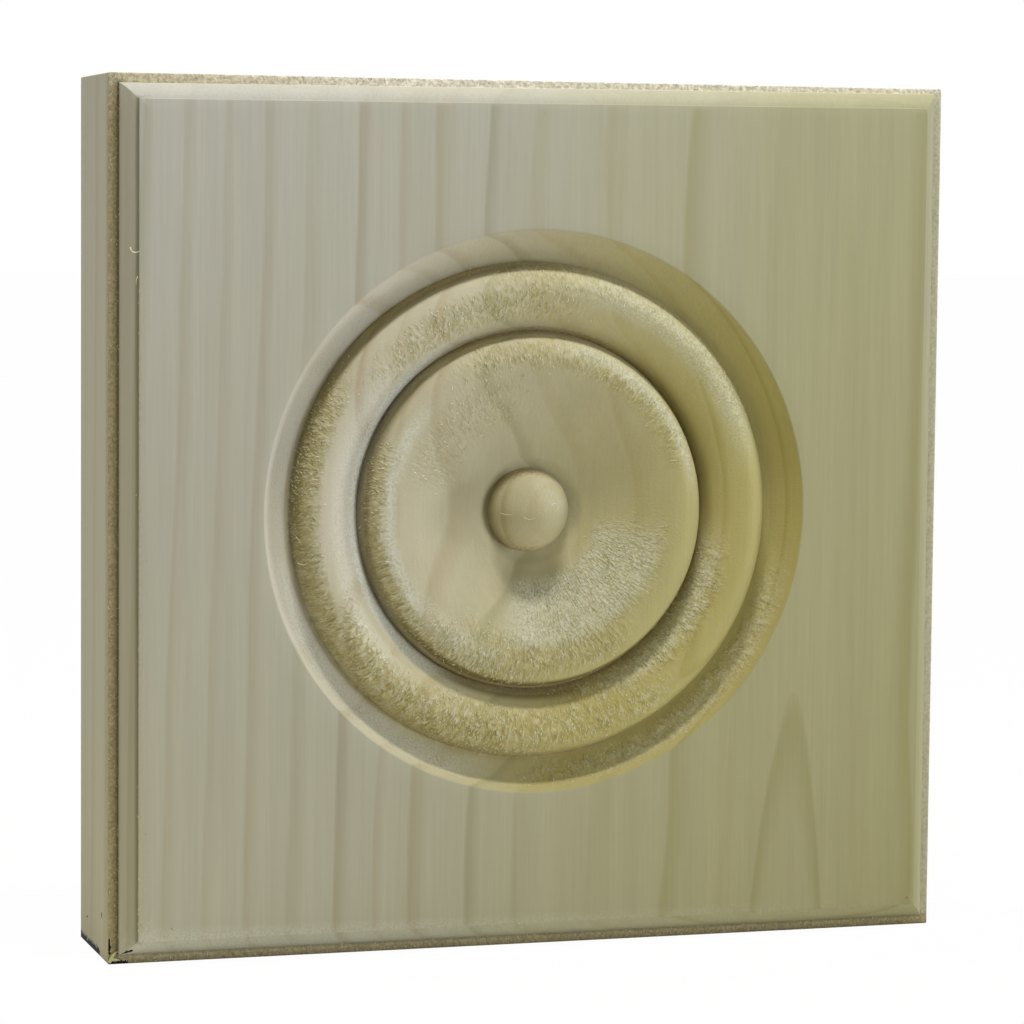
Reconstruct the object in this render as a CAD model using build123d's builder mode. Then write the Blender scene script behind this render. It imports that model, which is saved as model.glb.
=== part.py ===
from build123d import *
import os

# A rosette corner block: one solid piece of poplar that joins the casings or
# baseboards meeting at a corner. Its face carries a turned bullseye, and a
# small ovolo moulding runs round the face's four edges.
# X runs across the face, Y goes from the face to the wall behind, Z is up.
# The origin is the middle of the block's underside. Sizes are in millimetres.

# Block
block_width = 114.3
block_height = 114.3
block_thickness = 22.2

# Moulding cut along each edge of the face, measured in from the block's side
lip_width = 1.25
moulding_width = 3.3
moulding_depth = 3.2
quirk_depth = 0.4
ovolo_bulge = 0.5
top_pass_shift = 0.3
top_pass_skew = 0.3

# Place of the turned bullseye, from the middle of the face
turning_offset_x = -0.4
turning_offset_z = 0.7

# Cove that drops from the face to the first groove
rim_radius = 37.1
cove_foot_radius = 32.85
cove_foot_depth = 4.1
cove_sagitta = 0.4

# Raised ring between the two grooves: a steep outer wall, then a long round back
ring_shoulder_radius = 32.0
ring_shoulder_depth = 1.9
ring_crest_radius = 29.6
ring_crest_depth = 0.2
ring_foot_radius = 23.75
ring_foot_depth = 4.4
ring_foot_slope = 70

# Disc inside the ring, rounded at its edge and dished toward the button
disc_shoulder_radius = 22.95
disc_shoulder_depth = 1.9
disc_crest_radius = 20.4
disc_crest_depth = 0.35
dish_foot_radius = 7.2
dish_foot_depth = 4.5
dish_foot_slope = 5

# Domed button in the middle, with a fine groove round its foot
button_radius = 5.55
button_foot_depth = 5.3
button_top_depth = 0.5

# How far a cut reaches past the surface that it starts from
cutter_overrun = 2.0

face_y = -block_thickness / 2
middle_z = block_height / 2
right_x = block_width / 2


def edge_plane(x, z, inward):
    """Plane at the middle of one edge of the face: its X runs inward, its Y out of the face."""
    out_of_face = Vector(0, -1, 0)
    return Plane(origin=(x, face_y, z), x_dir=inward, z_dir=inward.cross(out_of_face))


left_edge = edge_plane(-right_x, middle_z, Vector(1, 0, 0))
right_edge = edge_plane(right_x, middle_z, Vector(-1, 0, 0))
bottom_edge = edge_plane(0, 0, Vector(0, 0, 1))
# The pass along the top edge ran a little shallow and out of square
top_edge = edge_plane(
    0, block_height + top_pass_shift, Vector(0, 0, -1).rotate(Axis.Y, -top_pass_skew)
)

# Length of the cutter's run along each edge
edge_runs = [
    (left_edge, block_height),
    (right_edge, block_height),
    (bottom_edge, block_width),
    (top_edge, block_width),
]

turning_origin = (turning_offset_x, face_y, middle_z + turning_offset_z)
turning_plane = Plane(origin=turning_origin, x_dir=(1, 0, 0), z_dir=(0, 0, -1))
turning_axis = Axis(turning_origin, (0, 1, 0))

# Corners of the turned profile, as radius and height from the face
rim = Vector(rim_radius, 0)
cove_foot = Vector(cove_foot_radius, -cove_foot_depth)
ring_shoulder = Vector(ring_shoulder_radius, -ring_shoulder_depth)
ring_crest = Vector(ring_crest_radius, -ring_crest_depth)
ring_foot = Vector(ring_foot_radius, -ring_foot_depth)
disc_shoulder = Vector(disc_shoulder_radius, -disc_shoulder_depth)
disc_crest = Vector(disc_crest_radius, -disc_crest_depth)
dish_foot = Vector(dish_foot_radius, -dish_foot_depth)
button_foot = Vector(button_radius, -button_foot_depth)
button_top = Vector(0, -button_top_depth)

# Directions of the profile, which is drawn from the rim to the middle
level = Vector(-1, 0)
ring_fall = level.rotate(Axis.Z, ring_foot_slope)
dish_fall = level.rotate(Axis.Z, dish_foot_slope)

with BuildPart() as rosette_block:
    # Squared blank, standing on its lower edge with its back to the wall
    with BuildSketch(Plane.XZ.offset(-block_thickness / 2)):
        Rectangle(block_width, block_height, align=(Align.CENTER, Align.MIN))
    extrude(amount=block_thickness)

    # Ovolo on a flat lip, run straight along the four edges so that it mitres
    for edge, run in edge_runs:
        with BuildSketch(edge):
            with BuildLine():
                Polyline(
                    (lip_width, -moulding_depth),
                    (-cutter_overrun, -moulding_depth),
                    (-cutter_overrun, cutter_overrun),
                    (moulding_width, cutter_overrun),
                    (moulding_width, -quirk_depth),
                )
                SagittaArc(
                    (moulding_width, -quirk_depth), (lip_width, -moulding_depth), -ovolo_bulge
                )
            make_face()
        extrude(amount=run, both=True, mode=Mode.SUBTRACT)

    # Turned bullseye: half of the waste, from the rim in to the button
    with BuildSketch(turning_plane):
        with BuildLine():
            SagittaArc(cove_foot, rim, -cove_sagitta)
            Line(cove_foot, ring_shoulder)
            Spline(ring_shoulder, ring_crest, tangents=[ring_shoulder - cove_foot, level])
            Spline(ring_crest, ring_foot, tangents=[level, ring_fall])
            Line(ring_foot, disc_shoulder)
            Spline(disc_shoulder, disc_crest, tangents=[disc_shoulder - ring_foot, level])
            Spline(disc_crest, dish_foot, tangents=[level, dish_fall])
            Line(dish_foot, button_foot)
            TangentArc(button_top, button_foot, tangent=-level)
            Polyline(rim, (rim_radius, cutter_overrun), (0, cutter_overrun), button_top)
        make_face()
    revolve(axis=turning_axis, mode=Mode.SUBTRACT)

os.makedirs("parts", exist_ok=True)
rosette_block.part.label = "rosette_block"
export_step(rosette_block.part, "parts/rosette_block.step")
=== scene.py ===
"""A turned rosette corner block in raw poplar, dressed around its CAD frame.

The block is one piece of tulipwood: planed face, ovolo edges, turned bullseye.
Sizes and tables are written in millimetres. Shapes are worked out in metres, as the frame has
them, and the materials' patterns in millimetres.
"""
import math

import bpy
import numpy as np
from bpy.props import FloatProperty, FloatVectorProperty, IntProperty, PointerProperty
from mathutils import Euler, Matrix, Vector


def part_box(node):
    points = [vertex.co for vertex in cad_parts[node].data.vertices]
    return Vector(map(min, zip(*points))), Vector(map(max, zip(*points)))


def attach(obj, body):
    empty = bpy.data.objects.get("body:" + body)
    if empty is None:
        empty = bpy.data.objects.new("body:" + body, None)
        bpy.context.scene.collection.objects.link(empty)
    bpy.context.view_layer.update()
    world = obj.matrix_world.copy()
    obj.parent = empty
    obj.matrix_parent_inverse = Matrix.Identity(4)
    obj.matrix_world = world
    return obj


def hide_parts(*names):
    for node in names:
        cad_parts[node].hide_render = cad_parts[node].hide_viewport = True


bl_info = {
    "name": "Rosette corner block",
    "version": (1, 0, 0),
    "blender": (4, 5, 0),
    "location": "3D View > Sidebar > Rosette",
    "description": "Builds a turned poplar rosette block with its torn grain, and a studio for it",
    "category": "Object",
}

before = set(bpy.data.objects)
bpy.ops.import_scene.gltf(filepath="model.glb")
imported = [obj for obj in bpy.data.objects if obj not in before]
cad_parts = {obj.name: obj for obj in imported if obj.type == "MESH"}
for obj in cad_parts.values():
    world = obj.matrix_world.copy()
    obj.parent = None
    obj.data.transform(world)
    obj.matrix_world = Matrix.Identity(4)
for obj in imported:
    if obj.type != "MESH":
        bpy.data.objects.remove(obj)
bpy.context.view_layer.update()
block_low, block_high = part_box("rosette_block")

MM = 0.001
NODE = "rosette_block"


def length(name, description, millimetres, low=0.0):
    """A length property, written in millimetres and kept in metres."""
    return FloatProperty(
        name=name, description=description, default=millimetres * MM, min=low, unit="LENGTH",
        precision=5,
    )


def turn(name, description, degrees):
    """An angle property, written in degrees and kept in radians."""
    return FloatProperty(
        name=name, description=description, default=math.radians(degrees), subtype="ANGLE"
    )


def amount(name, description, value):
    """A plain number that isn't negative."""
    return FloatProperty(name=name, description=description, default=value, min=0.0)


def hex_to_linear(code):
    """Linear red, green and blue of an sRGB hex colour."""
    channels = [int(code[i:i + 2], 16) / 255 for i in (1, 3, 5)]
    return [c / 12.92 if c <= 0.04045 else ((c + 0.055) / 1.055) ** 2.4 for c in channels]


def colour(name, description, code):
    """A colour property, written as an sRGB hex value and kept as linear channels and a one."""
    return FloatVectorProperty(
        name=name, description=description, subtype="COLOR", size=4, min=0.0, max=1.0,
        default=(*hex_to_linear(code), 1.0),
    )


class RosetteSizes(bpy.types.PropertyGroup):
    """Sizes of the edge moulding and of the turned bullseye, as the frame has them."""

    lip_width: length("Lip width", "Flat lip outside the ovolo", 1.25)
    moulding_width: length("Moulding width", "From the block's side to the flat face", 3.3)
    moulding_depth: length("Moulding depth", "From the face down to the lip", 3.2)
    quirk_depth: length("Quirk depth", "Small step between face and ovolo", 0.4)
    ovolo_bulge: length("Ovolo bulge", "Rise of the ovolo's curve over its chord", 0.5)
    top_pass_shift: length("Top pass shift", "How far the top pass ran outward", 0.3)
    top_pass_skew: turn("Top pass skew", "How far the top pass ran out of square", 0.3)
    turning_offset_x: length("Turning offset X", "Bullseye from the face's middle", -0.4, -5 * MM)
    turning_offset_z: length("Turning offset Z", "Bullseye from the face's middle", 0.7, -5 * MM)
    rim_radius: length("Rim radius", "Where the cove meets the face", 37.1)
    cove_foot_radius: length("Cove foot radius", "Outer groove", 32.85)
    cove_foot_depth: length("Cove foot depth", "Outer groove", 4.1)
    cove_sagitta: length("Cove sagitta", "Hollow of the cove under its chord", 0.4)
    ring_shoulder_radius: length("Ring shoulder radius", "Top of the ring's outer wall", 32.0)
    ring_shoulder_depth: length("Ring shoulder depth", "Top of the ring's outer wall", 1.9)
    ring_crest_radius: length("Ring crest radius", "Highest line of the ring", 29.6)
    ring_crest_depth: length("Ring crest depth", "Highest line of the ring", 0.2)
    ring_foot_radius: length("Ring foot radius", "Inner groove", 23.75)
    ring_foot_depth: length("Ring foot depth", "Inner groove", 4.4)
    ring_foot_slope: turn("Ring foot slope", "Fall of the ring's back at the inner groove", 70)
    disc_shoulder_radius: length("Disc shoulder radius", "Top of the disc's wall", 22.95)
    disc_shoulder_depth: length("Disc shoulder depth", "Top of the disc's wall", 1.9)
    disc_crest_radius: length("Disc crest radius", "Highest line of the disc", 20.4)
    disc_crest_depth: length("Disc crest depth", "Highest line of the disc", 0.35)
    dish_foot_radius: length("Dish foot radius", "Edge of the fine groove round the button", 7.2)
    dish_foot_depth: length("Dish foot depth", "Edge of the fine groove round the button", 4.5)
    dish_foot_slope: turn("Dish foot slope", "Fall of the dish where it ends", 5)
    button_radius: length("Button radius", "Foot of the domed button", 5.55)
    button_foot_depth: length("Button foot depth", "Foot of the domed button", 5.3)
    button_top_depth: length("Button top depth", "Top of the domed button", 0.5)
    arris_ease: length("Arris ease", "Softening of the sharp edges by handling", 0.14)
    steps_round: IntProperty(
        name="Steps round", description="Points in each loop of the block's mesh", default=500, min=64
    )


class PoplarFinish(bpy.types.PropertyGroup):
    """Colours of the planed tulipwood."""

    pale: colour("Pale wood", "Upper left of the face", "#A8A59A")
    pale_right: colour("Pale wood, right", "Upper right of the face", "#A19D7C")
    # Painted fall-off of the light toward the bottom of the face
    low: colour("Low wood", "What the wood's colour is multiplied by at the bottom", "#FAF7E6")
    turned: colour("Turned wood", "What it is multiplied by at the bullseye's upper left", "#FFFAF4")
    turned_low: colour("Turned wood, low", "The same at the bullseye's lower right", "#FFF7CE")
    torn_cast: colour("Torn cast", "What the wood is multiplied by where it is torn", "#FAF5DC")
    # The torn colour is painted shade in the torn bed's hollows; the fibre colour below also paints
    # highlights on its ridges
    torn: colour("Torn wood", "Shadowed bed of the torn grain", "#8D844E")
    fibre: colour("Fibres", "Loose fibres that stand off the torn grain", "#CFCDB6")
    fibre_low: colour("Buried fibres", "Fibres deeper in the torn grain", "#ADA672")
    # Pale speckle of raised fibres, also used as painted highlight on the bullseye
    bleached_and_lit: colour("Bleached fuzz and painted highlight", "Short raised fibres that scatter the light", "#CFD1C6")
    # Painted shade: laid over the wood in the grooves and where the button's shadow falls on the dish
    painted_shade: colour("Painted groove shade", "What the wood is multiplied by in its painted shade", "#8C8040")
    end_grain: colour("End grain", "Sawn end grain on the top and bottom", "#B3A27C")
    lip: colour("Lip", "Frayed wood of the lip round the moulding", "#B5A57C")
    lip_top: colour("Lip, top", "Frayed wood of the lip above the moulding, paler", "#E2DAC8")
    # Dark at the moulding's foot: partly the wood's own colour, partly painted shade in the inner corner
    foot_stain_and_shade: colour("Stain and painted shade", "Dark line at the foot of the moulding", "#4E4630")
    # Colour of the black marks drawn over the wood at the lower left corner
    black_mark_tint: colour("Black mark tint", "Black marks at the lower left corner", "#060604")


class TornGrain(bpy.types.PropertyGroup):
    """Fibres that the cutter lifted on the bullseye and along the arrises."""

    bed_height: length("Bed height", "Relief of the torn bed under the fibres", 0.10)
    stroke_width: length("Stroke width", "Width of one hollow in the torn bed", 0.9)
    stroke_length: length("Stroke length", "Length of one hollow in the torn bed", 2.2)
    fibre_length: length("Fibre length", "Length of a lifted fibre", 0.48)
    fibre_width: length("Fibre width", "Width of a lifted fibre", 0.15)
    fibre_density: amount("Fibre density", "Fibres on each square millimetre of torn wood", 9.0)
    fuzz_length: length("Fuzz length", "Length of a fibre on the frayed lip", 0.35)
    fuzz_width: length("Fuzz width", "Width of a fibre on the frayed lip", 0.10)
    fuzz_density: amount("Fuzz density", "Fibres on each square millimetre of the frayed lip", 4.0)
    seed: IntProperty(name="Seed", description="Fixed seed of the random fibres", default=7)


class StudioStage(bpy.types.PropertyGroup):
    """Camera and lamps of the plain studio."""

    focal_length: FloatProperty(
        name="Focal length", description="On a 36 mm wide frame", default=131.02, min=1.0, unit="CAMERA"
    )
    camera_x: length("Camera X", "From the block's middle", -148.28, -2)
    camera_y: length("Camera Y", "From the block's middle", -476.01, -2)
    camera_z: length("Camera Z", "Over the floor", 96.10)
    camera_yaw: turn("Yaw", "Turn toward the right", 17.217)
    camera_pitch: turn("Pitch", "Tilt down", 4.478)
    camera_roll: turn("Roll", "Lean to the left", 0.527)
    lamp_softness: turn("Lamp softness", "Width of each far lamp seen from the block", 14)
    surround: amount("Surround light", "Light from the white studio round the block", 0.105)
    surround_tint: colour("Surround tint", "Warmth of the studio's wooden floor and walls", "#FFF6B8")


def add(tree, kind, links=None, **settings):
    """Adds a node with its settings; links maps an input to a socket, a node or a plain value."""
    node = tree.nodes.new(kind)
    for name, value in settings.items():
        setattr(node, name, value)
    used = [socket for socket in node.inputs if socket.enabled]
    for name, source in (links or {}).items():
        target = used[name] if isinstance(name, int) else next(s for s in used if s.name == name)
        if isinstance(source, bpy.types.Node):
            source = next(socket for socket in source.outputs if socket.enabled)
        if isinstance(source, bpy.types.NodeSocket):
            tree.links.new(source, target)
        else:
            target.default_value = source
    return node


# Profile curves, as rows of (radius, depth) or (inward, depth) with the start left out

def straight(start, end, steps):
    """Points of a straight line."""
    t = np.linspace(0, 1, steps + 1)[1:, None]
    return (1 - t) * np.array(start) + t * np.array(end)


def bend(start, end, start_way, end_way, steps):
    """Points of a fair curve that leaves and meets its ends along two directions."""
    start, end = np.array(start, float), np.array(end, float)
    reach = np.linalg.norm(end - start) / 3
    leave = start + reach * np.array(start_way) / np.linalg.norm(start_way)
    meet = end - reach * np.array(end_way) / np.linalg.norm(end_way)
    t = np.linspace(0, 1, steps + 1)[1:, None]
    return (
        (1 - t) ** 3 * start + 3 * t * (1 - t) ** 2 * leave + 3 * t * t * (1 - t) * meet + t ** 3 * end
    )


def arc(start, end, sagitta, steps):
    """Points of a circular arc whose middle lies a sagitta to the left of its chord."""
    start, end = np.array(start, float), np.array(end, float)
    chord = end - start
    half = np.linalg.norm(chord) / 2
    along = chord / (2 * half)
    side = np.array((-along[1], along[0]))
    radius = (half ** 2 + sagitta ** 2) / (2 * sagitta)
    centre = (start + end) / 2 + side * (sagitta - radius)
    opening = math.asin(half / radius)
    t = np.linspace(-opening, opening, steps + 1)[1:, None]
    return centre + radius * (np.sin(t) * along + np.cos(t) * side)


def eased(before, corner, after, ease):
    """Three points that round a corner off between its two neighbours."""
    corner = np.array(corner, float)
    back = np.array(before, float) - corner
    on = np.array(after, float) - corner
    start = corner + ease * back / np.linalg.norm(back)
    end = corner + ease * on / np.linalg.norm(on)
    t = np.linspace(0, 1, 4)[:, None]
    return (1 - t) ** 2 * start + 2 * t * (1 - t) * corner + t * t * end


def turned_profile(s):
    """Radius and depth of the bullseye from next to the button's top out to the face."""
    rise = s.button_foot_depth - s.button_top_depth
    ball = (s.button_radius ** 2 + rise ** 2) / (2 * rise)
    spread = math.asin(min(1.0, s.button_radius / ball))
    t = np.linspace(0, spread, 17)[1:]
    dome = np.stack([ball * np.sin(t), s.button_top_depth + ball * (1 - np.cos(t))], axis=-1)
    button_foot = (s.button_radius, s.button_foot_depth)
    dish_foot = (s.dish_foot_radius, s.dish_foot_depth)
    disc_crest = (s.disc_crest_radius, s.disc_crest_depth)
    disc_shoulder = (s.disc_shoulder_radius, s.disc_shoulder_depth)
    ring_foot = (s.ring_foot_radius, s.ring_foot_depth)
    ring_crest = (s.ring_crest_radius, s.ring_crest_depth)
    ring_shoulder = (s.ring_shoulder_radius, s.ring_shoulder_depth)
    cove_foot = (s.cove_foot_radius, s.cove_foot_depth)
    rim = (s.rim_radius, 0.0)
    level = (1.0, 0.0)
    dish_rise = (math.cos(s.dish_foot_slope), -math.sin(s.dish_foot_slope))
    ring_rise = (math.cos(s.ring_foot_slope), -math.sin(s.ring_foot_slope))
    disc_wall = np.subtract(ring_foot, disc_shoulder)
    ring_wall = np.subtract(cove_foot, ring_shoulder)
    cove = arc(cove_foot, rim, s.cove_sagitta, 16)
    rim_ease = eased(cove[-2], rim, (s.rim_radius + 1 * MM, 0.0), s.arris_ease)
    return np.concatenate([
        dome,
        straight(button_foot, dish_foot, 5),
        bend(dish_foot, disc_crest, dish_rise, level, 36),
        bend(disc_crest, disc_shoulder, level, disc_wall, 12),
        straight(disc_shoulder, ring_foot, 7),
        bend(ring_foot, ring_crest, ring_rise, level, 28),
        bend(ring_crest, ring_shoulder, level, ring_wall, 12),
        straight(ring_shoulder, cove_foot, 7),
        cove[:-1],
        rim_ease,
    ])


def edge_profile(s):
    """Inward distance and depth from the face's border out to the ovolo's foot."""
    border = (s.moulding_width, 0.0)
    step = (s.moulding_width, s.quirk_depth)
    foot = (s.lip_width, s.moulding_depth)
    return np.concatenate([
        eased((border[0] + 1 * MM, 0.0), border, step, s.arris_ease),
        straight((s.moulding_width, s.arris_ease), step, 2),
        arc(step, foot, s.ovolo_bulge, 14),
    ])


def square_loop(corners, corner_radius, steps):
    """One closed loop through four corners, counter-clockwise from the lower right, as (x, z)."""
    per_side = steps // 4
    turn_steps = 3
    t = np.arange(per_side + 1) / per_side
    spread = np.tan((t - 0.5) * math.pi / 2) / 2 + 0.5
    low, high = spread[turn_steps], spread[per_side - turn_steps]
    points = []
    for side in range(4):
        start, end = np.array(corners[side]), np.array(corners[(side + 1) % 4])
        before, after = np.array(corners[side - 1]), np.array(corners[(side + 2) % 4])
        run = np.linalg.norm(end - start)
        along = (end - start) / run
        back = (before - start) / np.linalg.norm(before - start)
        on = (after - end) / np.linalg.norm(after - end)
        for i in range(per_side):
            if i < turn_steps:
                angle = math.pi / 4 * (1 + i / turn_steps)
                points.append(start + corner_radius * (
                    along * (1 - math.cos(angle)) + back * (1 - math.sin(angle))))
            elif i > per_side - turn_steps:
                angle = math.pi / 4 * (1 + (per_side - i) / turn_steps)
                points.append(end + corner_radius * (
                    -along * (1 - math.cos(angle)) + on * (1 - math.sin(angle))))
            else:
                share = (spread[i] - low) / (high - low)
                points.append(start + along * (corner_radius + (run - 2 * corner_radius) * share))
    return np.array(points)


def block_loops(s):
    """Every loop of the block's skin, from the button to the middle of the back, as (x, y, z)."""
    low, high = Vector(block_low), Vector(block_high)
    face_y, middle_z = low.y, (low.z + high.z) / 2
    steps = s.steps_round
    theta = math.tau * np.arange(steps) / steps - math.pi / 4
    circle = np.stack([np.cos(theta), np.sin(theta)], axis=-1)
    centre = np.array((s.turning_offset_x, middle_z + s.turning_offset_z))
    thickness = high.y - low.y
    crisp, soft = 0.04 * MM, 0.15 * MM

    def moulded(inward):
        """Corners of the line that a point of the cutter draws round the face."""
        left, right, bottom = low.x + inward, high.x - inward, low.z + inward
        slope = math.tan(s.top_pass_skew)
        top = high.z + s.top_pass_shift - inward / math.cos(s.top_pass_skew)
        return [(right, bottom), (right, top + right * slope), (left, top + left * slope), (left, bottom)]

    def squared(inset):
        """Corners of the block's outline, drawn in by an inset."""
        left, right = low.x + inset, high.x - inset
        bottom, top = low.z + inset, high.z - inset
        return [(right, bottom), (right, top), (left, top), (left, bottom)]

    loops = []

    def put(flat, depth):
        """Adds one loop at a depth behind the face."""
        loops.append(np.stack([flat[:, 0], np.full(steps, face_y + depth), flat[:, 1]], axis=-1))

    profile = turned_profile(s)
    for radius, depth in profile:
        put(centre + radius * circle, depth)
    outer_round = centre + profile[-1][0] * circle
    edge = edge_profile(s)
    border = square_loop(moulded(edge[0][0]), crisp, steps)
    for share in np.linspace(0, 1, 15)[1:-1]:
        put(outer_round + (border - outer_round) * share, 0.0)
    for inward, depth in edge:
        put(square_loop(moulded(inward), crisp, steps), depth)
    foot = square_loop(moulded(s.lip_width), crisp, steps)
    ease = 0.7 * s.arris_ease
    outline = square_loop(squared(ease), soft, steps)
    for share in (0.35, 0.7):
        put(foot + (outline - foot) * share, s.moulding_depth)
    front_arris = eased((1 * MM, s.moulding_depth), (0, s.moulding_depth), (0, thickness), ease)
    back_arris = eased((0, s.moulding_depth), (0, thickness), (1 * MM, thickness), ease)
    wall = straight(front_arris[-1], back_arris[0], 8)[:-1]
    for inset, depth in (*front_arris, *wall, *back_arris):
        put(square_loop(squared(inset), soft, steps), depth)
    back_middle = np.array((0.0, middle_z))
    for share in (0.15, 0.4, 0.7, 0.92):
        put(outline + (back_middle - outline) * share, thickness)
    return loops


def skin_mesh(name, loops, first_pole, last_pole):
    """A closed mesh through loops of equal length, with a fan at each end."""
    steps = len(loops[0])
    points = np.concatenate([np.array([first_pole]), *loops, np.array([last_pole])])
    here = np.arange(steps)
    after = (here + 1) % steps
    starts = 1 + steps * np.arange(len(loops) - 1)[:, None]
    quads = np.stack([
        starts + here, starts + steps + here, starts + steps + after, starts + after
    ], axis=-1).reshape(-1, 4)
    last = 1 + steps * (len(loops) - 1)
    first_fan = np.stack([np.zeros(steps, int), 1 + here, 1 + after], axis=-1)
    last_fan = np.stack([last + here, np.full(steps, len(points) - 1), last + after], axis=-1)
    mesh = bpy.data.meshes.new(name)
    mesh.from_pydata(points.tolist(), [], first_fan.tolist() + quads.tolist() + last_fan.tolist())
    mesh.validate()
    return mesh


# Torn zones: from and to an angle in degrees round the bullseye, counter-clockwise from the
# right, from and to a radius in millimetres, and how badly the grain is torn there
TORN_ZONES = {
    "ring, left, outer edge": (150, 232, 30.1, 32.8, 0.8),
    "ring, lower left, outer half": (208, 268, 27.8, 32.6, 0.95),
    "ring, upper right, outer edge": (24, 100, 29.4, 32.2, 0.4),
    "ring, top, middle": (80, 140, 25.6, 29.8, 0.5),
    "ring, lower right, by the groove": (282, 345, 23.9, 27.4, 0.7),
    "ring, bottom, middle": (240, 305, 26.4, 31.0, 0.6),
    "disc, left edge": (160, 262, 21.0, 23.0, 0.7),
    "disc, lower left": (225, 275, 18.8, 22.4, 0.6),
    "disc, upper right edge": (20, 118, 19.2, 22.4, 0.5),
    "disc, lower right dish": (268, 350, 9.4, 18.6, 0.45),
    "disc, bottom edge": (240, 305, 16.4, 21.5, 0.6),
    "disc, upper left dish": (100, 165, 12.0, 18.5, 0.25),
    "cove, lower right": (272, 342, 33.8, 36.2, 0.5),
}

# Zones of fuzz beside them, in the same form: short raised fibres that look white, and painted highlights
# where the turned surfaces face the lamps, as on the button's upper right
FUZZ_AND_HIGHLIGHT_ZONES = {
    "ring, left, middle": (140, 205, 24.8, 28.0, 0.34),
    "ring, left, by the groove": (122, 238, 23.7, 25.6, 0.8),
    "ring, lower left, middle": (196, 226, 26.8, 28.6, 0.4),
    "ring, upper right, outer edge": (18, 78, 28.4, 31.8, 0.42),
    "ring, right, by the groove": (296, 350, 24.2, 26.6, 0.5),
    "disc, left, inside the edge": (140, 222, 19.6, 21.4, 0.5),
    "disc, upper right, outer edge": (12, 80, 21.0, 22.6, 0.45),
    "disc, lower right dish": (258, 348, 9.5, 17.8, 0.52),
    "disc, lower left": (205, 250, 18.6, 22.0, 0.3),
    "cove, lower right": (285, 345, 34.2, 36.3, 0.35),
    "cove, left": (120, 190, 33.8, 36.3, 0.2),
    "cove, lower left": (190, 258, 33.6, 36.3, 0.45),
    "button, upper right": (10, 90, 1.2, 4.0, 0.15),
}

# Zones of painted shade, in the same form: the grooves and the disc's lower wall where the top light doesn't
# reach, the groove round the button, and the shadow that the button throws on the dish.
PAINTED_SHADE_ZONES = {
    "disc, bottom wall": (215, 332, 22.6, 23.4, 0.75),
    "dish, below the button": (251, 302, 6.6, 12.0, 0.34),
    "inner groove, bottom": (240, 284, 23.5, 24.9, 0.75),
    "inner groove, right": (-30, 56, 23.2, 24.8, 0.25),
    "inner groove, left": (130, 232, 22.8, 23.7, 0.5),
    "outer groove, upper left": (84, 192, 32.0, 33.0, 0.55),
    "outer groove, bottom": (250, 300, 32.4, 33.4, 0.2),
    "button, groove": (120, 240, 5.2, 6.4, 0.5),
}


# Radii on the bullseye, in millimetres: where torn strokes have the width that they are given,
# the inner groove that parts the fibres of the ring from those of the disc, and the button's groove
MIDDLE_REACH = 26.0
INNER_GROOVE = 23.3
BUTTON_GROOVE = 6.0


def window(value, low, high, feather):
    """One from low to high and nothing beyond, with a fade one feather wide centred on each."""
    rise = np.clip((value - low) / feather + 0.5, 0, 1)
    fall = np.clip((high - value) / feather + 0.5, 0, 1)
    return (rise * rise * (3 - 2 * rise)) * (fall * fall * (3 - 2 * fall))


def zone_share(points, centre, zones):
    """How strongly the zones hold at each point of the skin, from 0 to 1."""
    x, z = points[:, 0] - centre[0], points[:, 2] - centre[1]
    radius = np.hypot(x, z) / MM
    angle = np.degrees(np.arctan2(z, x)) % 360
    deepest, fade_round = 8 * MM, 22
    share = np.zeros(len(points))
    for first, last, inner, outer, strength in zones.values():
        middle, half = (first + last) / 2, (last - first) / 2
        away = np.abs((angle - middle + 180) % 360 - 180)
        across = window(away, -half, half, fade_round)
        fade_out = min(2.4, 0.7 * (outer - inner))
        share = np.maximum(share, strength * across * window(radius, inner, outer, fade_out))
    return share * (points[:, 1] < block_low[1] + deepest)


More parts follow.
